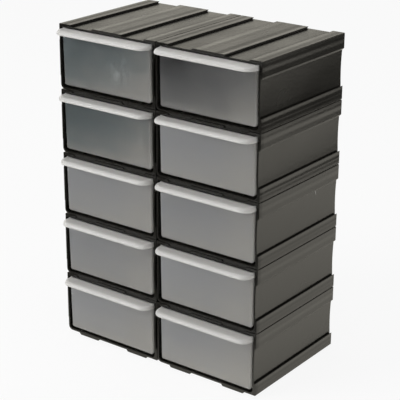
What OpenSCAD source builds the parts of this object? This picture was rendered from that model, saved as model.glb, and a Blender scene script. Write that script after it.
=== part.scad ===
// Stacking parts cabinet: open-fronted housings that hook onto each other above and beside,
// each with one see-through drawer that slides out by its full-width lip.
// Axes: +X to the right, +Y from the drawer fronts to the back, +Z up. The origin is the centre
// of the cabinet's outer box in plan, on the surface that the feet stand on.

/* [Stack] */
// Housings one above another
rows = 5; // [1:1:8]
// Housings side by side
cols = 2; // [1:1:3]
// Gap between a housing and the one standing on it
stack_gap = 0.5; // [0.2:0.1:0.8]
// Gap between neighbouring columns
column_gap = 0.4; // [0.2:0.1:1]

/* [Housing] */
// Width of one housing, its side tongue left out
housing_w = 125; // [115:1:160]
// Depth of one housing, from its front edge to its back
housing_d = 144; // [110:1:200]
// Height of one housing, its feet left out
housing_h = 68.5; // [64:0.1:95]
// Thickness of the top, side and back walls
wall_t = 1.5; // [1.2:0.1:2.4]
// Thickness of the floor
floor_t = 2; // [1.6:0.1:3]
// Radius of the rounded lower left edge
edge_r = 5; // [1:0.2:5]
// Bevel on the other long edges
edge_bevel = 0.5; // [0.2:0.1:1]
// Radius inside the two lower corners of the mouth
mouth_r = 4; // [2:0.5:8]
// How far the right wall bows inwards at mid-height
panel_bow = 0.6; // [0.3:0.1:0.8]

/* [Bands and channels] */
// Height of the raised bands on the top above the channels between them
band_h = 1.8; // [1.4:0.1:2.6]
// Height of the raised bands on the right wall above its panel
side_band_h = 2.2; // [1.4:0.1:2.6]
// Width of the left edge band on the top
edge_band_w = 15.5; // [12:0.5:20]
// Width of the floor of a top channel
channel_w = 27; // [20:0.5:32]
// Height of the lower band on the right wall
side_band_low = 14.2; // [10:0.2:18]
// Height of the upper band on the right wall
side_band_high = 15.5; // [10:0.5:20]
// How far the hooked edge of a channel overhangs its floor
hook = 1.6; // [0.4:0.1:2]
// Side clearance of a foot or tongue in its channel
rail_clear = 0.4; // [0.2:0.1:0.8]
// Clearance between a foot or tongue and the channel floor
rail_float = 0.2; // [0.1:0.1:0.5]
// Distance from the front edge to the start of the side tongue
tongue_setback = 2.2; // [1:0.2:12]
// Length of the tapered front end of a foot
foot_lead = 6; // [3:0.5:12]
// How much that taper narrows the foot
foot_taper = 1.4; // [0.6:0.2:2]
// Length of the slight bevel at the front of the right bands
nose_l = 4; // [2:0.5:8]
// Depth of that bevel
nose_d = 0.45; // [0.2:0.05:0.8]

/* [Guides in the housing] */
// Distance from the front edge to the start of the guide ribs and the runners
guide_setback = 8; // [3:0.5:20]
// Width of the ribs on the inside of the left wall
guide_w = 2.5; // [1.2:0.1:3]
// Height of each guide rib on the left wall
guide_h = 3; // [2:0.5:5]
// Height of the two runners on the floor
runner_h = 2.2; // [1:0.1:3]
// Width of each runner
runner_w = 3; // [2:0.5:6]
// Distance of the runners from the sides of the drawer
runner_inset = 16; // [10:1:30]

/* [Drawer] */
// Wall and floor thickness of the drawer
drawer_t = 1.6; // [1.2:0.1:2.4]
// How far the top of the drawer front stands out of the housing
drawer_proud = 2; // [1.9:0.1:4]
// How much further back the foot of the drawer front is than its top
front_lean = 1.4; // [0.5:0.1:3]
// Clearance at each side of the drawer in the mouth
side_gap = 1; // [0.9:0.1:2]
// Clearance above the drawer
top_gap = 0.5; // [0.3:0.1:2]
// Running clearance between the drawer and the runners
run_gap = 0.3; // [0.2:0.1:0.6]
// Clearance behind the drawer
back_gap = 3; // [1:0.5:10]
// Radius of the drawer's lower side edges
drawer_r = 5.5; // [3:0.5:9]
// Radius of the edges around the drawer front
front_r = 2.5; // [2:0.1:4]

/* [Lip] */
// Reach of the lip in front of the drawer front
lip_reach = 12.8; // [11:0.2:20]
// How far the lip overhangs each side of the drawer
lip_overhang = 1.6; // [0.5:0.1:2]
// Height of the lip's skirt, top face included
lip_h = 4.6; // [4.4:0.1:9]
// Thickness of the lip
lip_t = 1.4; // [1.2:0.1:1.8]
// Corner radius of the lip in plan
lip_r = 11.5; // [6:0.5:12]
// Radius of the lip's rounded upper front edge
lip_nose_r = 3.6; // [2:0.1:3.8]
// Gap between the back of the lip and the front edges of the housing
lip_clear = 0.4; // [0.2:0.1:1]

/* [Hidden] */
$fn = 48;
// Overlap of solids that join, and how far a cut runs past what it cuts
eps = 0.01;
past = 1;

row_pitch = housing_h + stack_gap;
col_pitch = housing_w + column_gap;
foot_h = band_h + stack_gap - rail_float;
tongue_h = side_band_h + column_gap - rail_float;

// Levels and faces of one housing: its lower left front corner is at 0, 0, 0.
deck_z = housing_h - band_h;
ceiling_z = deck_z - wall_t;
panel_x = housing_w - side_band_h;
inner_right = panel_x - wall_t;
channel_starts = [edge_band_w, housing_w - edge_band_w - channel_w];
side_ramp_z = housing_h - side_band_high - side_band_h;
panel_mid_z = (side_band_low + side_ramp_z) / 2;
panel_half = (side_ramp_z - side_band_low) / 2;
bow_r = (pow(panel_half, 2) + pow(panel_bow, 2)) / (2 * panel_bow);
back_inner = housing_d - wall_t;
guide_x = wall_t + guide_w;
guide_levels = [side_band_low, side_ramp_z - guide_h];

// The drawer in the same frame
drawer_x = guide_x + side_gap;
drawer_w = inner_right - side_gap - drawer_x;
drawer_z = floor_t + runner_h + run_gap;
drawer_h = ceiling_z - top_gap - drawer_z;
drawer_d = drawer_proud + back_inner - back_gap;
lean = atan(front_lean / drawer_h);
lip_w = drawer_w + 2 * lip_overhang;
lip_y = -drawer_proud - lip_reach;

// The whole cabinet
cabinet_w = cols * housing_w + (cols - 1) * column_gap;
origin_x = (cabinet_w - tongue_h) / 2;
origin_y = (housing_d + lip_y) / 2;

function housing_name(r, c) = str("housing_row", r, "_col", c);
function drawer_name(r, c) = str("drawer_row", r, "_col", c);

// Extrudes a front-view outline (x, z) from depth y0 to depth y1.
module along_y(y0, y1) {
    translate([0, y1, 0])
        rotate([90, 0, 0])
            linear_extrude(y1 - y0)
                children();
}

// Rectangle with both corners on its first edge rounded.
module round_bottom(w, h, r) {
    polygon([[r, 0], [w - r, 0], [w, r], [w, h], [0, h], [0, r]]);
    for (x = [r, w - r])
        translate([x, r])
            circle(r);
}

// Circle that bows the right wall inwards; grow adds the wall's thickness.
module bow_circle(grow) {
    translate([panel_x - panel_bow + bow_r, panel_mid_z])
        circle(bow_r + grow, $fn = 360);
}

// Outline of a housing in front view: bands and channels on the top and on the right wall.
module housing_outline() {
    deck = [for (i = [len(channel_starts) - 1:-1:0]) let (x = channel_starts[i]) each [
        [x + channel_w + band_h, housing_h],
        [x + channel_w, deck_z],
        [x - hook, deck_z],
        [x, housing_h]
    ]];
    side = [
        [housing_w - edge_bevel, 0],
        [housing_w, edge_bevel],
        [housing_w, side_band_low],
        [panel_x, side_band_low - hook],
        [panel_x, side_ramp_z],
        [housing_w, side_ramp_z + side_band_h],
        [housing_w, housing_h - edge_bevel],
        [housing_w - edge_bevel, housing_h]
    ];
    left = [[edge_bevel, housing_h], [0, housing_h - edge_bevel], [0, edge_r], [edge_r, 0]];
    difference() {
        union() {
            polygon(concat(side, deck, left));
            translate([edge_r, edge_r])
                circle(edge_r);
        }
        intersection() {
            bow_circle(0);
            translate([panel_x - panel_bow, side_band_low])
                square([panel_bow + side_band_h, 2 * panel_half]);
        }
    }
}

// The room inside a housing, in front view.
module housing_room() {
    difference() {
        translate([wall_t, floor_t])
            round_bottom(inner_right - wall_t, ceiling_z - floor_t, mouth_r);
        bow_circle(wall_t);
    }
}

// Foot under the housing, in front view; lower_left is where its lower left corner lies.
module foot_outline(x, lower_left) {
    polygon([
        [x + rail_clear, eps],
        [x + rail_clear, -stack_gap],
        [lower_left, -foot_h],
        [x + channel_w + rail_float - rail_clear, -foot_h],
        [x + channel_w + band_h + stack_gap - rail_clear, 0],
        [x + channel_w + band_h + stack_gap - rail_clear, eps]
    ]);
}

// Two feet that hook into the top channels of the housing below.
module feet() {
    for (x = channel_starts) {
        hooked = x + rail_clear - hook * (foot_h - stack_gap) / band_h;
        along_y(0, foot_lead)
            foot_outline(x, x + rail_clear + foot_taper);
        along_y(foot_lead, housing_d)
            foot_outline(x, hooked);
    }
}

// Tongue on the left wall that hooks into the right channel of the neighbouring housing.
module side_tongue() {
    reach = tongue_h - column_gap;
    along_y(tongue_setback, housing_d)
        polygon([
            [eps, side_band_low + rail_clear],
            [-column_gap, side_band_low + rail_clear],
            [-tongue_h, side_band_low + rail_clear - hook * reach / side_band_h],
            [-tongue_h, side_ramp_z + rail_float - rail_clear],
            [-column_gap, side_ramp_z + side_band_h - rail_clear],
            [eps, side_ramp_z + side_band_h - rail_clear]
        ]);
}

// Two ribs on the left wall that guide the drawer's side.
module left_guides() {
    for (z = guide_levels)
        translate([wall_t - eps, guide_setback, z])
            cube([guide_w + eps, back_inner - guide_setback + eps, guide_h]);
}

// Two runners on the floor that carry the drawer.
module runners() {
    for (x = [drawer_x + runner_inset, drawer_x + drawer_w - runner_inset - runner_w])
        translate([x, guide_setback, floor_t - eps])
            cube([runner_w, back_inner - guide_setback + eps, runner_h + eps]);
}

// Slight bevel on the outer face of the right bands, next to the front edge.
module nose_bevel() {
    translate([0, 0, -foot_h - eps])
        linear_extrude(housing_h + foot_h + 2 * eps)
            polygon([
                [housing_w - nose_d, -eps],
                [housing_w + past, -eps],
                [housing_w + past, nose_l],
                [housing_w, nose_l],
                [housing_w - nose_d, 0]
            ]);
}

// One housing, open at the front.
module housing_shell() {
    difference() {
        along_y(0, housing_d)
            housing_outline();
        along_y(-eps, back_inner)
            housing_room();
        nose_bevel();
    }
    left_guides();
    runners();
    feet();
    side_tongue();
}

// Solid block of the drawer's outer shape. shrink makes it smaller on every side by a wall's
// thickness, and rise makes it taller. The leaning upright runs past the block at both ends.
module drawer_block(shrink, rise) {
    w = drawer_w - 2 * shrink;
    h = drawer_h - shrink + rise;
    front_y = shrink / cos(lean) - rise * tan(lean);
    d = drawer_d - shrink - front_y;
    foot_y = h * tan(lean);
    r_side = drawer_r - shrink;
    r_front = front_r - shrink;
    translate([drawer_x + shrink, front_y - drawer_proud, drawer_z + shrink])
        intersection() {
            along_y(0, d)
                round_bottom(w, h, r_side);
            translate([0, 0, h])
                rotate([lean, 0, 0])
                    linear_extrude(3 * h, center = true)
                        round_bottom(w, 2 * d, r_front);
            rotate([90, 0, 90])
                linear_extrude(w)
                    leaning_profile(d, h, foot_y, r_front);
        }
}

// Side view of the drawer (y, z): a leaning front that turns into the floor through an arc.
module leaning_profile(d, h, foot_y, r) {
    arc_y = foot_y + r * (1 - sin(lean)) / cos(lean);
    polygon([
        [arc_y, 0],
        [d, 0],
        [d, h],
        [0, h],
        [arc_y - r * cos(lean), r * (1 - sin(lean))]
    ]);
    translate([arc_y, r])
        circle(r);
}

// Section of the lip: a top plate that turns down over a rounded edge into a skirt.
// x runs outwards from the centre of the plan corner, y is up, with 0 at the top face.
module lip_section() {
    inner_r = lip_nose_r - lip_t;
    foot_r = lip_t / 2;
    difference() {
        union() {
            translate([0, -lip_nose_r])
                square([lip_r - lip_nose_r, lip_nose_r]);
            translate([lip_r - lip_nose_r, -lip_nose_r])
                intersection() {
                    circle(lip_nose_r);
                    square(lip_nose_r);
                }
            translate([lip_r - lip_t, foot_r - lip_h])
                square([lip_t, lip_h - foot_r - lip_nose_r + eps]);
            translate([lip_r - foot_r, foot_r - lip_h])
                circle(foot_r);
        }
        translate([-eps, -lip_h])
            square([lip_r - lip_nose_r + eps, lip_h - lip_t]);
        translate([lip_r - lip_nose_r - eps, -lip_h])
            square([inner_r + eps, lip_h - lip_nose_r]);
        translate([lip_r - lip_nose_r, -lip_nose_r])
            circle(inner_r);
    }
}

// Half of the lip: one rounded corner, its return to the housing and half of the front run.
module lip_half() {
    lip_back = lip_reach + drawer_proud - lip_clear - lip_r;
    translate([lip_r, lip_r, 0])
        rotate([0, 0, 180])
            rotate_extrude(angle = 90)
                lip_section();
    translate([lip_r, lip_r, 0])
        rotate([90, 0, 180])
            linear_extrude(lip_back)
                lip_section();
    translate([lip_w / 2, lip_r, 0])
        rotate([90, 0, -90])
            linear_extrude(lip_w / 2 - lip_r)
                lip_section();
    translate([lip_r, lip_r, -lip_t])
        cube([lip_w / 2 - lip_r, lip_back, lip_t]);
}

// The lip is a little wider than the drawer, with rounded front corners.
module lip() {
    translate([drawer_x - lip_overhang, lip_y, drawer_z + drawer_h]) {
        lip_half();
        translate([lip_w, 0, 0])
            mirror([1, 0, 0])
                lip_half();
    }
}

// One drawer: an open tray with its lip.
module drawer_tray() {
    difference() {
        drawer_block(0, 0);
        drawer_block(drawer_t, past);
    }
    lip();
}

// Moves a housing or drawer to its row and column; row 1 is the top one, column 1 the left one.
module place(r, c) {
    translate([
        (c - 1) * col_pitch - origin_x,
        -origin_y,
        foot_h + (rows - r) * row_pitch
    ])
        children();
}

module housing(r, c) {
    color([0.17, 0.17, 0.16])
        place(r, c)
            housing_shell();
}

module drawer(r, c) {
    color([0.72, 0.73, 0.72])
        place(r, c)
            drawer_tray();
}

for (r = [1:rows], c = [1:cols]) {
    housing(r, c);
    drawer(r, c);
}
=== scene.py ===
"""Looks of the stacking parts cabinet: black moulded housings with cloudy see-through drawers."""
import math

import bpy
from mathutils import Matrix, Vector


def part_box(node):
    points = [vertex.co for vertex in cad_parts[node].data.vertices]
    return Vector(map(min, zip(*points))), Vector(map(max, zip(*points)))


MM = 0.001
ROWS = 5

# Colours as sRGB hex values
BLACK_PLASTIC = "#171613"
BLACK_PLASTIC_PALE = "#1f1e1b"
SCRATCHED_PLASTIC = "#babab6"
BLUISH_PLASTIC = "#ccd9dc"
GREYISH_PLASTIC = "#dedfe1"
CLOUDY_PLASTIC = "#e6e4df"
LIP_PLASTIC = "#f2f0ec"
SWEEP_WHITE = "#f4f4f4"
BACKDROP_WHITE = "#ffffff"
REFLECTED_WHITE = "#fffaec"
UNLIT = "#000000"

# Polypropylene bends light by about this much
PLASTIC_IOR = 1.49
# Nearly all of a noise lies in this span of its values
NOISE_SPAN = {"From_Min": 0.3, "From_Max": 0.7}
# For a range that starts and ends softly
SMOOTHLY = {"interpolation_type": "SMOOTHSTEP"}

# Sink marks on the black bands. Each pair is a distance in mm and a height from 0 to 1, where 1 is
# the given depth above 0. Distances on the side bands go up from the feet of a housing, which reach
# 2.1 mm down into the housing below, so the first two marks lie on that one. Distances on the top
# bands go to the right from a housing's left tongue.
SIDE_MARKS = ((0, 0.74), (1.6, 0.81), (2.1, 0.95), (4.2, 0.84), (8.6, 0.52), (12.6, 0.14), (16.4, 0.36),
              (24, 0.25), (55.4, 0.25), (59.9, 0.22), (65.2, 0.68), (67.2, 0.67), (69, 0.74))
SIDE_MARK_DEPTH = 0.9 * MM
TOP_MARKS = ((0, 0.32), (7, 0.57), (12, 0.19), (16.5, 0.3), (36, 0.4), (41, 0.46), (47.5, 0.08),
             (56, 0.64), (61.5, 0.54), (71, 0.62), (79.5, 0.02), (83.5, 0.3), (85.5, 0.2),
             (106, 0.62), (111, 0.42), (113.5, 0.2), (119, 0.6), (125.4, 0.32))
TOP_MARK_DEPTH = 0.6 * MM

# The black plastic: its rounded edges, its roughness and its gloss, the size in mm along x, y and z
# of its slow waves, its grain and its paler patches, and the depth of the waves and the grain
HOUSING_EDGE = 1.0 * MM
HOUSING_ROUGHNESS = {"To_Min": 0.20, "To_Max": 0.28}
HOUSING_SPECULAR = 0.55
WAVE_SIZE = (20, 130, 20)
WAVE_DEPTH = 0.02 * MM
# The real grain is about 0.2 mm; it is drawn at 2.4 mm so that it shows.
GRAIN_SIZE = (2.4, 2.4, 2.4)
GRAIN_DEPTH = 0.12 * MM
PALE_PATCH_SIZE = (30, 70, 30)

# A scratch on the right wall of the third row: its middle, half its sizes, and its slant
SCRATCH_PLACE = Vector((123.9, 39.3, 189.0)) * MM
SCRATCH_HALF = Vector((3.0, 0.5, 4.2)) * MM
SCRATCH_SLANT = 0.4

# The drawers: how far back the bright lip goes, which is to just before the front wall, their
# rounded edges and their roughness, the sizes in mm of their cloudy patches and of their flow
# waves, and how deep and how strong the waves are
LIP_REACH = 12.5 * MM
DRAWER_EDGE = 0.3 * MM
DRAWER_ROUGHNESS = {"To_Min": 0.30, "To_Max": 0.38}
CLOUD_SIZE = (26, 26, 18)
CLOUD_HAZE = {"To_Min": -0.05, "To_Max": 0.05}
FLOW_SIZE = (9, 9, 40)
FLOW_DEPTH = 0.03 * MM
FLOW_STRENGTH = 0.3

# A smear of dust on the front of the top left drawer: its middle, how far it reaches and how far
# it keeps its full strength, how cloudy it is, the size in mm of its wiped patches, and how sharp
# these are
SMEAR_PLACE = Vector((-43.0, -66.5, 311.0)) * MM
SMEAR_REACH = 17 * MM
SMEAR_CORE = 0.3 * SMEAR_REACH
SMEAR_HAZE = 0.6
SMEAR_PATCH_SIZE = (7, 20, 9)
SMEAR_PATCH_SPAN = {"From_Min": 0.46, "From_Max": 0.56}

# How cloudy a drawer looks, by the distance in mm from its left side and from its foot. The two are
# added up: 0 is the clearest, 1 is cloudy, and more than the limit is the rim. Cloudier plastic looks
# paler, and the rise towards the right side and the foot of a front is painted light, for the brighter
# light there. The tint turns from clear to cloudy over a span of its own.
ACROSS_HAZE_AND_PAINTED_LIGHT = ((0, 0.25), (1.5, 0.25), (4, 0.0), (60, 0.1), (112, 0.34), (116, 0.5), (125.4, 0.5))
UP_HAZE_AND_PAINTED_LIGHT = ((0, 0.6), (2.5, 0.4), (14, 0.22), (40, 0.05), (58.0, 0.0), (58.8, 2.0), (69, 2.0))
RIM_HAZE_LIMIT = 1.5
TINT_SPAN = {"From_Min": 0.1, "From_Max": 0.55}
# How much light passes straight through a drawer where it is cloudy, and through its lip and rim
CLOUDY_CLEARNESS = 0.67
LIP_CLEARNESS = 0.34
# How much of the rest goes into the plastic and scatters there, and how deep it goes
SCATTERED_SHARE = 0.8
SCATTER_DEPTH = 3 * MM
# Sets of drawers: how much light passes straight through a drawer where it is clearest, and its tint
# there. Clearer drawers look darker in front of the black housing, so the clearer sets in the top rows
# and the cloudier sets in the bottom rows are painted light, for the brighter light low down.
PAINTED_LIGHT_SETS = {
    "clearest": (0.99, GREYISH_PLASTIC),
    "clear": (0.94, BLUISH_PLASTIC),
    "natural": (0.745, GREYISH_PLASTIC),
    "cloudy": (0.70, GREYISH_PLASTIC),
}
# The drawers that aren't in the natural set
OTHER_PAINTED_LIGHT_SETS = {
    "drawer_row1_col1": "clear", "drawer_row1_col2": "clearest", "drawer_row2_col1": "clear",
    "drawer_row4_col2": "cloudy", "drawer_row5_col1": "cloudy", "drawer_row5_col2": "cloudy",
}

# The floor: its width and how far it lies below the feet, in metres, and how much of it is white
# of its own for whoever looks at it; the rest is paper, which takes the cabinet's shadow.
FLOOR_WIDTH = 16
FLOOR_DROP = 0.0002
FLOOR_OWN_WHITE = 0.90
# How brightly the room lights the cabinet
ROOM_LIGHT = 0.4
# What a reflection sees of the floor: bright near the cabinet, by the distance in metres, and
# beside and behind it, by the depth behind the middle, where a step to the right adds to the depth
FLOOR_NEAR = {"From_Min": 0.70, "From_Max": 1.25, "To_Min": 1.0, "To_Max": 0.10}
FLOOR_BESIDE = {"From_Min": -0.16, "From_Max": -0.03, "To_Min": 0.13, "To_Max": 1.0}
RIGHT_COUNTS_AS_DEPTH = 0.6
# What a reflection sees of the room: bright behind the cabinet and low down, by the direction
ROOM_BEHIND = {"From_Min": -0.5, "From_Max": 0.6, "To_Min": 0.45, "To_Max": 1.0}
ROOM_LOW = {"From_Min": 0.12, "From_Max": 0.46, "To_Min": 1.0, "To_Max": 0.25}

# The softboxes: name, place and width in metres, and power in watts
SOFTBOXES = (
    ("overhead_softbox", (-0.3, -0.3, 1.9), 1.6, 7),
    ("front_softbox", (-1.3, -1.9, 0.9), 1.2, 32),
)
SOFTBOX_TARGET = (0, 0, 0.15)

# Where the camera stands, how it is turned in radians, its lens on Blender's 36 mm sensor, and the
# nearest and furthest that it sees, in metres
CAMERA_PLACE = Vector((778.3, -1033.2, 653.8)) * MM
CAMERA_AZIMUTH = 0.6409
CAMERA_ELEVATION = 0.3621
CAMERA_ROLL = 0.0059
CAMERA_LENS = 118.67
CAMERA_SIGHT = (0.05, 40)


def linear(hex_colour):
    """The linear RGBA of an sRGB hex colour."""
    def channel(value):
        return value / 12.92 if value <= 0.04045 else ((value + 0.055) / 1.055) ** 2.4
    parts = [int(hex_colour[i:i + 2], 16) / 255 for i in (1, 3, 5)]
    return (*[channel(part) for part in parts], 1.0)


def add_node(tree, kind, settings=None, **inputs):
    """Adds a node with its settings. An input goes by name, or by number after an underscore, and
    takes a value, a socket, or a node, which gives its first output."""
    node = tree.nodes.new(kind)
    for name, value in (settings or {}).items():
        setattr(node, name, value)
    for name, value in inputs.items():
        socket = node.inputs[int(name[1:]) if name[0] == "_" else name.replace("_", " ")]
        if isinstance(value, bpy.types.Node):
            value = value.outputs[0]
        if isinstance(value, bpy.types.NodeSocket):
            tree.links.new(value, socket)
        else:
            socket.default_value = value
    return node


def new_material(name):
    """An empty node material and its tree."""
    material = bpy.data.materials.new(name)
    material.use_nodes = True
    material.node_tree.nodes.clear()
    return material, material.node_tree


def stretched_noise(tree, size_mm, detail, seed):
    """Noise whose patches measure about size_mm along each axis."""
    place = add_node(tree, "ShaderNodeTexCoord").outputs["Object"]
    scale = [1 / (length * MM) for length in size_mm]
    mapping = add_node(tree, "ShaderNodeMapping", Vector=place, Scale=scale, Location=seed)
    return add_node(tree, "ShaderNodeTexNoise", Vector=mapping, Scale=1.0, Detail=detail)


def share_of_cell(tree, corner, pitch):
    """How far a point lies across, back and up in its own cell of the stack, each from 0 to 1."""
    place = add_node(tree, "ShaderNodeTexCoord").outputs["Object"]
    moved = add_node(tree, "ShaderNodeVectorMath", {"operation": "SUBTRACT"}, _0=place, _1=corner)
    counted = add_node(tree, "ShaderNodeVectorMath", {"operation": "DIVIDE"}, _0=moved, _1=pitch)
    share = add_node(tree, "ShaderNodeVectorMath", {"operation": "FRACTION"}, _0=counted)
    return add_node(tree, "ShaderNodeSeparateXYZ", Vector=share).outputs


def laid_out(tree, share, length, marks):
    """Smooth values along a length: each mark is a distance in mm and the value there."""
    ramp = add_node(tree, "ShaderNodeValToRGB", Fac=share)
    ramp.color_ramp.interpolation = "EASE"
    spots = ramp.color_ramp.elements
    spots.remove(spots[1])
    for number, (distance, value) in enumerate(marks):
        spot = spots.new(distance * MM / length) if number else spots[0]
        spot.color = (value, value, value, 1)
    return ramp


def scratch_share(tree):
    """1 in the middle of the scratch and 0 outside it, with a soft rim between."""
    place = add_node(tree, "ShaderNodeTexCoord").outputs["Object"]
    along = add_node(tree, "ShaderNodeMapping", {"vector_type": "TEXTURE"}, Vector=place,
                     Location=SCRATCH_PLACE, Rotation=(SCRATCH_SLANT, 0, 0), Scale=SCRATCH_HALF)
    away = add_node(tree, "ShaderNodeVectorMath", {"operation": "LENGTH"}, _0=along).outputs["Value"]
    return add_node(tree, "ShaderNodeMapRange", Value=away, From_Min=0.5, From_Max=1.0,
                    To_Min=1.0, To_Max=0.0)


def smear_haze(tree):
    """Haze from dust that was wiped about, in patches that fade out from the middle."""
    place = add_node(tree, "ShaderNodeTexCoord").outputs["Object"]
    away = add_node(tree, "ShaderNodeVectorMath", {"operation": "DISTANCE"}, _0=place, _1=SMEAR_PLACE)
    near = add_node(tree, "ShaderNodeMapRange", Value=away.outputs["Value"],
                    From_Min=SMEAR_CORE, From_Max=SMEAR_REACH, To_Min=SMEAR_HAZE, To_Max=0.0)
    wiped = stretched_noise(tree, SMEAR_PATCH_SIZE, 3.0, (2, 5, 1))
    patches = add_node(tree, "ShaderNodeMapRange", Value=wiped, **SMEAR_PATCH_SPAN)
    return add_node(tree, "ShaderNodeMath", {"operation": "MULTIPLY"}, _0=near, _1=patches)


def black_moulded_polypropylene(corner, pitch):
    """Black injection-moulded polypropylene: a satin skin that mirrors broad light at a low angle.
    The bands sank a little along the ribs behind them, which draws soft streaks, and the skin is
    finely grained."""
    material, tree = new_material("black_moulded_polypropylene")
    share = share_of_cell(tree, corner, pitch)
    edge = add_node(tree, "ShaderNodeBevel", {"samples": 4}, Radius=HOUSING_EDGE)
    facing = add_node(tree, "ShaderNodeNewGeometry").outputs["True Normal"]
    facing = add_node(tree, "ShaderNodeVectorMath", {"operation": "ABSOLUTE"}, _0=facing)
    facing = add_node(tree, "ShaderNodeSeparateXYZ", Vector=facing).outputs
    side = laid_out(tree, share["Z"], pitch[2], SIDE_MARKS)
    side_dents = add_node(tree, "ShaderNodeBump", Strength=facing["X"], Distance=SIDE_MARK_DEPTH,
                          Height=side, Normal=edge)
    top = laid_out(tree, share["X"], pitch[0], TOP_MARKS)
    top_dents = add_node(tree, "ShaderNodeBump", Strength=facing["Z"], Distance=TOP_MARK_DEPTH,
                         Height=top, Normal=side_dents)
    wander = stretched_noise(tree, WAVE_SIZE, 1.0, (0, 0, 0))
    waves = add_node(tree, "ShaderNodeBump", Height=wander, Distance=WAVE_DEPTH, Normal=top_dents)
    grain = stretched_noise(tree, GRAIN_SIZE, 2.0, (0, 0, 0))
    pores = add_node(tree, "ShaderNodeBump", Height=grain, Distance=GRAIN_DEPTH, Normal=waves)
    patches = stretched_noise(tree, PALE_PATCH_SIZE, 3.0, (3, 1, 2))
    colour = add_node(tree, "ShaderNodeMix", {"data_type": "RGBA"}, Factor=patches,
                      A=linear(BLACK_PLASTIC), B=linear(BLACK_PLASTIC_PALE)).outputs["Result"]
    colour = add_node(tree, "ShaderNodeMix", {"data_type": "RGBA"}, Factor=scratch_share(tree),
                      A=colour, B=linear(SCRATCHED_PLASTIC)).outputs["Result"]
    gloss = add_node(tree, "ShaderNodeMapRange", Value=patches, **NOISE_SPAN, **HOUSING_ROUGHNESS)
    skin = add_node(tree, "ShaderNodeBsdfPrincipled", Base_Color=colour, Roughness=gloss,
                    IOR=PLASTIC_IOR, Specular_IOR_Level=HOUSING_SPECULAR, Normal=pores)
    add_node(tree, "ShaderNodeOutputMaterial", Surface=skin)
    return material


def natural_moulded_polypropylene(batch, corner, pitch):
    """Uncoloured injection-moulded polypropylene: cloudy and see-through, so that it looks dark in
    front of the black housing, and bright at the lip and the rim, where the wall is thick and
    light comes from all sides."""
    # Painted light: a set's clearness makes its drawers darker or paler in front of the black housing, for
    # how brightly its row is lit.
    clearest, tint = PAINTED_LIGHT_SETS[batch]
    material, tree = new_material(f"{batch}_moulded_polypropylene")
    share = share_of_cell(tree, corner, pitch)
    # Painted light: the plastic turns cloudier and paler towards the right side and the foot of each front.
    across = laid_out(tree, share["X"], pitch[0], ACROSS_HAZE_AND_PAINTED_LIGHT)
    up = laid_out(tree, share["Z"], pitch[2], UP_HAZE_AND_PAINTED_LIGHT)
    cloud = stretched_noise(tree, CLOUD_SIZE, 3.0, (5, 2, 7))
    speckle = add_node(tree, "ShaderNodeMapRange", Value=cloud, **NOISE_SPAN, **CLOUD_HAZE)
    haze_and_painted_light = add_node(tree, "ShaderNodeMath", {"operation": "ADD"}, _0=across, _1=up)
    haze_and_painted_light = add_node(tree, "ShaderNodeMath", {"operation": "ADD"}, _0=haze_and_painted_light, _1=speckle)
    greyed = add_node(tree, "ShaderNodeMapRange", Value=haze_and_painted_light, **TINT_SPAN)
    haze_and_painted_light = add_node(tree, "ShaderNodeMath", {"operation": "ADD"}, _0=haze_and_painted_light, _1=smear_haze(tree))
    body = add_node(tree, "ShaderNodeMapRange", Value=haze_and_painted_light, From_Min=0.0, From_Max=1.0,
                    To_Min=clearest, To_Max=CLOUDY_CLEARNESS)
    lip = add_node(tree, "ShaderNodeMath", {"operation": "LESS_THAN"},
                   _0=share["Y"], _1=LIP_REACH / pitch[1])
    rim = add_node(tree, "ShaderNodeMath", {"operation": "GREATER_THAN"}, _0=haze_and_painted_light, _1=RIM_HAZE_LIMIT)
    lip = add_node(tree, "ShaderNodeMath", {"operation": "MAXIMUM"}, _0=lip, _1=rim)
    passing = add_node(tree, "ShaderNodeMix", {"data_type": "FLOAT"}, _0=lip, _2=body, _3=LIP_CLEARNESS)
    colour = add_node(tree, "ShaderNodeMix", {"data_type": "RGBA"}, Factor=greyed,
                      A=linear(tint), B=linear(CLOUDY_PLASTIC)).outputs["Result"]
    colour = add_node(tree, "ShaderNodeMix", {"data_type": "RGBA"}, Factor=lip,
                      A=colour, B=linear(LIP_PLASTIC)).outputs["Result"]
    gloss = add_node(tree, "ShaderNodeMapRange", Value=cloud, **NOISE_SPAN, **DRAWER_ROUGHNESS)
    edge = add_node(tree, "ShaderNodeBevel", {"samples": 4}, Radius=DRAWER_EDGE)
    flow = stretched_noise(tree, FLOW_SIZE, 2.0, (1, 4, 0))
    waves = add_node(tree, "ShaderNodeBump", Strength=FLOW_STRENGTH, Distance=FLOW_DEPTH,
                     Height=flow, Normal=edge)
    skin = add_node(tree, "ShaderNodeBsdfPrincipled", Base_Color=colour, Roughness=gloss,
                    IOR=PLASTIC_IOR, Transmission_Weight=passing, Normal=waves,
                    Subsurface_Weight=SCATTERED_SHARE, Subsurface_Scale=SCATTER_DEPTH,
                    Subsurface_Radius=(1.0, 1.0, 1.0))
    add_node(tree, "ShaderNodeOutputMaterial", Surface=skin)
    return material


def background_rays(tree):
    """Two shares: 1 for rays that come from a reflection or through a drawer, and 1 for these and
    also for rays that come straight from the camera."""
    path = add_node(tree, "ShaderNodeLightPath").outputs
    mirrored = add_node(tree, "ShaderNodeMath", {"operation": "MAXIMUM"},
                        _0=path["Is Glossy Ray"], _1=path["Is Transmission Ray"])
    seen = add_node(tree, "ShaderNodeMath", {"operation": "MAXIMUM"}, _0=path["Is Camera Ray"], _1=mirrored)
    return mirrored, seen


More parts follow.
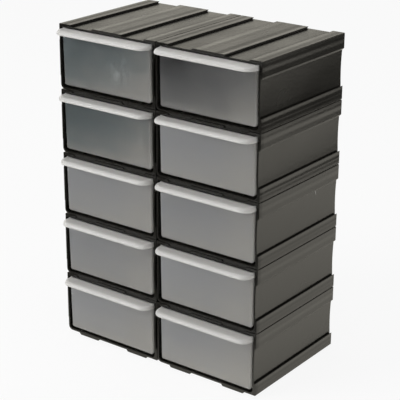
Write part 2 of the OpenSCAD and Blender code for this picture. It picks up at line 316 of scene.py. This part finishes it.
def matt_white_sweep():
    """Matt white studio paper. The camera sees it lifted towards white, with the cabinet's shadow
    kept, and a reflection sees it lit only near, beside and behind the cabinet."""
    material, tree = new_material("matt_white_sweep")
    mirrored, seen = background_rays(tree)
    place = add_node(tree, "ShaderNodeNewGeometry").outputs["Position"]
    reach = add_node(tree, "ShaderNodeVectorMath", {"operation": "LENGTH"}, _0=place).outputs["Value"]
    spot = add_node(tree, "ShaderNodeSeparateXYZ", Vector=place).outputs
    right = add_node(tree, "ShaderNodeMath", {"operation": "MAXIMUM"}, _0=spot["X"], _1=0.0)
    depth = add_node(tree, "ShaderNodeMath", {"operation": "MULTIPLY_ADD"},
                     _0=right, _1=RIGHT_COUNTS_AS_DEPTH, _2=spot["Y"])
    near = add_node(tree, "ShaderNodeMapRange", SMOOTHLY, Value=reach, **FLOOR_NEAR)
    beside = add_node(tree, "ShaderNodeMapRange", SMOOTHLY, Value=depth, **FLOOR_BESIDE)
    lit = add_node(tree, "ShaderNodeMath", {"operation": "MULTIPLY"}, _0=near, _1=beside)
    strength = add_node(tree, "ShaderNodeMix", {"data_type": "FLOAT"}, _0=mirrored, _2=1.0, _3=lit)
    tone = add_node(tree, "ShaderNodeMix", {"data_type": "RGBA"}, Factor=strength,
                    A=linear(UNLIT), B=linear(SWEEP_WHITE)).outputs["Result"]
    paper = add_node(tree, "ShaderNodeBsdfDiffuse", Color=tone)
    shine = add_node(tree, "ShaderNodeMix", {"data_type": "RGBA"}, Factor=mirrored,
                     A=linear(BACKDROP_WHITE), B=linear(REFLECTED_WHITE)).outputs["Result"]
    glow = add_node(tree, "ShaderNodeEmission", Color=shine, Strength=strength)
    share = add_node(tree, "ShaderNodeMath", {"operation": "MULTIPLY"}, _0=seen, _1=FLOOR_OWN_WHITE)
    lifted = add_node(tree, "ShaderNodeMixShader", _0=share, _1=paper, _2=glow)
    add_node(tree, "ShaderNodeOutputMaterial", Surface=lifted)
    return material


def lay_floor():
    """The white sweep that the cabinet stands on."""
    bpy.ops.mesh.primitive_plane_add(size=FLOOR_WIDTH, location=(0, 0, -FLOOR_DROP))
    floor = bpy.context.object
    floor.name = "floor"
    floor.data.materials.append(matt_white_sweep())


def light_room():
    """Even soft daylight all round. The camera sees white past the cabinet, and a reflection sees
    white low behind the cabinet and a dim room elsewhere."""
    world = bpy.data.worlds.new("studio")
    world.use_nodes = True
    bpy.context.scene.world = world
    tree = world.node_tree
    tree.nodes.clear()
    mirrored, seen = background_rays(tree)
    towards = add_node(tree, "ShaderNodeTexCoord").outputs["Generated"]
    parts = add_node(tree, "ShaderNodeSeparateXYZ", Vector=towards).outputs
    behind = add_node(tree, "ShaderNodeMapRange", SMOOTHLY, Value=parts["Y"], **ROOM_BEHIND)
    low = add_node(tree, "ShaderNodeMapRange", SMOOTHLY, Value=parts["Z"], **ROOM_LOW)
    lit = add_node(tree, "ShaderNodeMath", {"operation": "MULTIPLY"}, _0=behind, _1=low)
    strength = add_node(tree, "ShaderNodeMix", {"data_type": "FLOAT"}, _0=mirrored, _2=1.0, _3=lit)
    room = add_node(tree, "ShaderNodeBackground", Color=linear(BACKDROP_WHITE), Strength=ROOM_LIGHT)
    shine = add_node(tree, "ShaderNodeMix", {"data_type": "RGBA"}, Factor=mirrored,
                     A=linear(BACKDROP_WHITE), B=linear(REFLECTED_WHITE)).outputs["Result"]
    white = add_node(tree, "ShaderNodeBackground", Color=shine, Strength=strength)
    mixed = add_node(tree, "ShaderNodeMixShader", _0=seen, _1=room, _2=white)
    add_node(tree, "ShaderNodeOutputWorld", Surface=mixed)


def hang_softbox(name, place, width, power):
    """A square softbox that faces the cabinet. Its shape doesn't show in reflections."""
    data = bpy.data.lights.new(name, "AREA")
    data.size = width
    data.energy = power
    lamp = bpy.data.objects.new(name, data)
    bpy.context.collection.objects.link(lamp)
    lamp.location = place
    aim = Vector(SOFTBOX_TARGET) - Vector(place)
    lamp.rotation_euler = aim.to_track_quat("-Z", "Y").to_euler()
    lamp.visible_glossy = False


def place_camera():
    """The camera at its place, turned by its azimuth, elevation and roll."""
    data = bpy.data.cameras.new("camera")
    data.lens = CAMERA_LENS
    data.clip_start, data.clip_end = CAMERA_SIGHT
    camera = bpy.data.objects.new("camera", data)
    bpy.context.collection.objects.link(camera)
    back = Vector((math.sin(CAMERA_AZIMUTH) * math.cos(CAMERA_ELEVATION),
                   -math.cos(CAMERA_AZIMUTH) * math.cos(CAMERA_ELEVATION),
                   math.sin(CAMERA_ELEVATION)))
    level = Vector((math.cos(CAMERA_AZIMUTH), math.sin(CAMERA_AZIMUTH), 0))
    upright = back.cross(level)
    right = level * math.cos(CAMERA_ROLL) + upright * math.sin(CAMERA_ROLL)
    up = upright * math.cos(CAMERA_ROLL) - level * math.sin(CAMERA_ROLL)
    turn = Matrix((right, up, back)).transposed()
    camera.matrix_world = Matrix.Translation(CAMERA_PLACE) @ turn.to_4x4()
    bpy.context.scene.camera = camera


def dress(part, material):
    """Gives a moulded part its one material."""
    part.data.materials.clear()
    part.data.materials.append(material)


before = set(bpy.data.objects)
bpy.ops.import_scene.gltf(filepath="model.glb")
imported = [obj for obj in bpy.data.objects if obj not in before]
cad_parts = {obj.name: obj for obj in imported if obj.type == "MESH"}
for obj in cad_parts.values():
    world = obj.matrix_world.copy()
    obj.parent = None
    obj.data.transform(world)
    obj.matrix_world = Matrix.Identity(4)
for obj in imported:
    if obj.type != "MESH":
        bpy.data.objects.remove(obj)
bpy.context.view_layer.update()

bpy.context.scene.view_settings.view_transform = "Standard"
place_camera()
lay_floor()
light_room()
for softbox in SOFTBOXES:
    hang_softbox(*softbox)

# The stack's cells: the corners where the lower left housing and its drawer begin, and the pitch
# across, back and up. The stack is one cell deep, so a pitch back of twice a drawer's depth keeps
# each drawer within one cell.
housing_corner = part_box(f"housing_row{ROWS}_col1")[0]
drawer_corner, drawer_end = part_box(f"drawer_row{ROWS}_col1")
far_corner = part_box("drawer_row1_col2")[0]
pitch = (far_corner[0] - drawer_corner[0], 2 * (drawer_end[1] - drawer_corner[1]),
         (far_corner[2] - drawer_corner[2]) / (ROWS - 1))

housing_plastic = black_moulded_polypropylene(housing_corner, pitch)
drawer_plastics = {batch: natural_moulded_polypropylene(batch, drawer_corner, pitch)
                   for batch in PAINTED_LIGHT_SETS}
for name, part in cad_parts.items():
    if name.startswith("housing"):
        dress(part, housing_plastic)
    else:
        dress(part, drawer_plastics[OTHER_PAINTED_LIGHT_SETS.get(name, "natural")])
